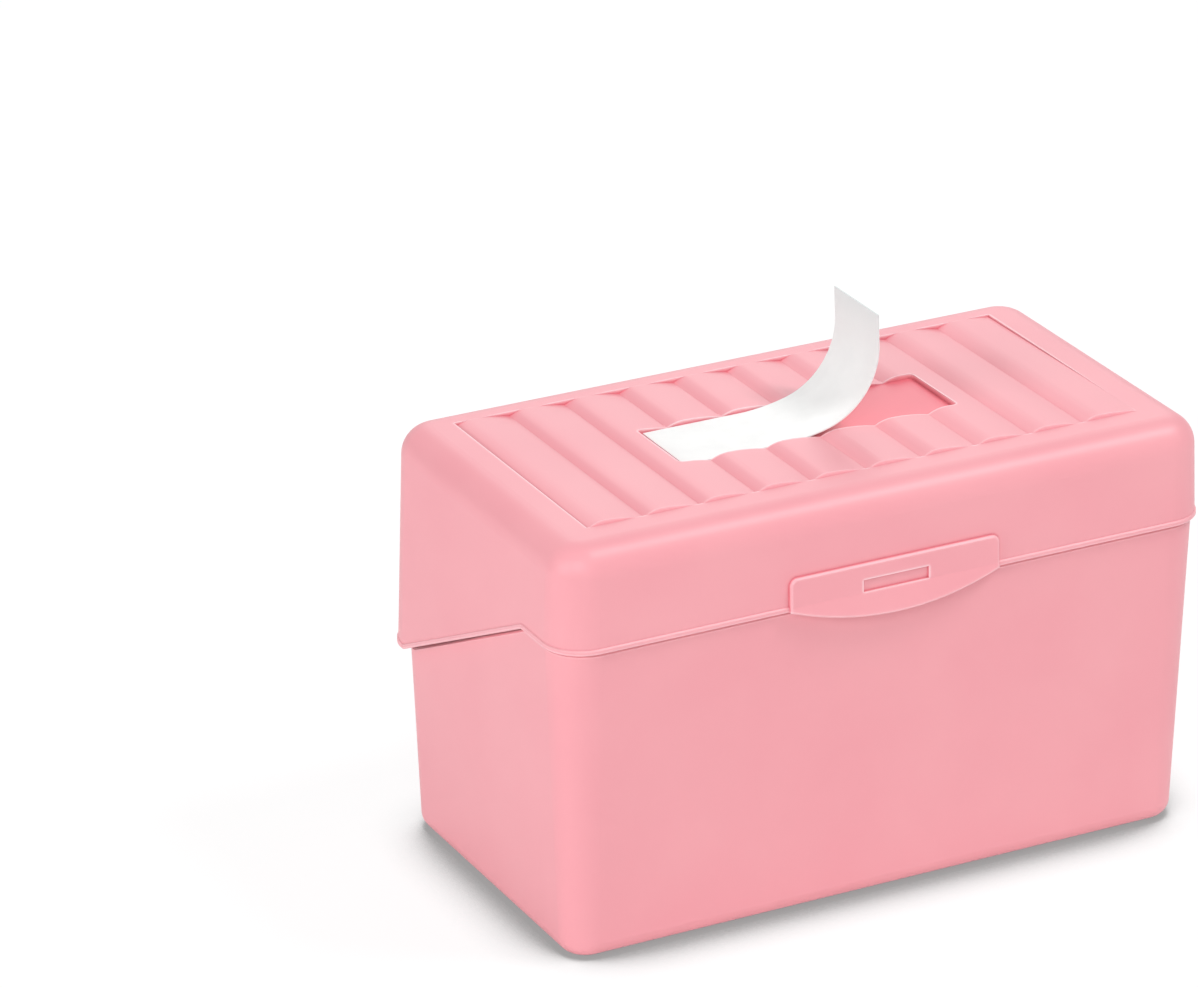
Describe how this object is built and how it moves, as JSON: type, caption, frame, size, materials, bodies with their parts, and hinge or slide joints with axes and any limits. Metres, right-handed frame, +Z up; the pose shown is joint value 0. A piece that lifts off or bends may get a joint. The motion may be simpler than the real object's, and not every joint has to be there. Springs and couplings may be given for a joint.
{
  "type": "index card box",
  "caption": "Hinged-lid desk box for index cards, with a ribbed top, a sunk label recess and a thumb-lip catch on the front.",
  "frame": {"origin": "on the resting plane, under the middle of the closed box", "axes": "+Z up, +X along the length of the box, -Y towards the catch on the front, +Y towards the hinge"},
  "size_m": [0.1434, 0.0815, 0.1084],
  "materials": {
    "moulded_polypropylene": "satin moulded",
    "hinge_pin_wire": "drawn wire",
    "label_card": "uncoated white card"
  },
  "bodies": {
    "body": {"box_body": "moulded_polypropylene", "hinge_pin_left": "hinge_pin_wire", "hinge_pin_right": "hinge_pin_wire"},
    "lid": {"lid": "moulded_polypropylene", "name_label": "label_card"}
  },
  "joints": [
    {"name": "lid_hinge", "type": "hinge", "parent": "body", "child": "lid", "pos_m": [0, 0.03892, 0.0407], "axis": [-1, 0, 0], "range_deg": [0, 110]}
  ]
}
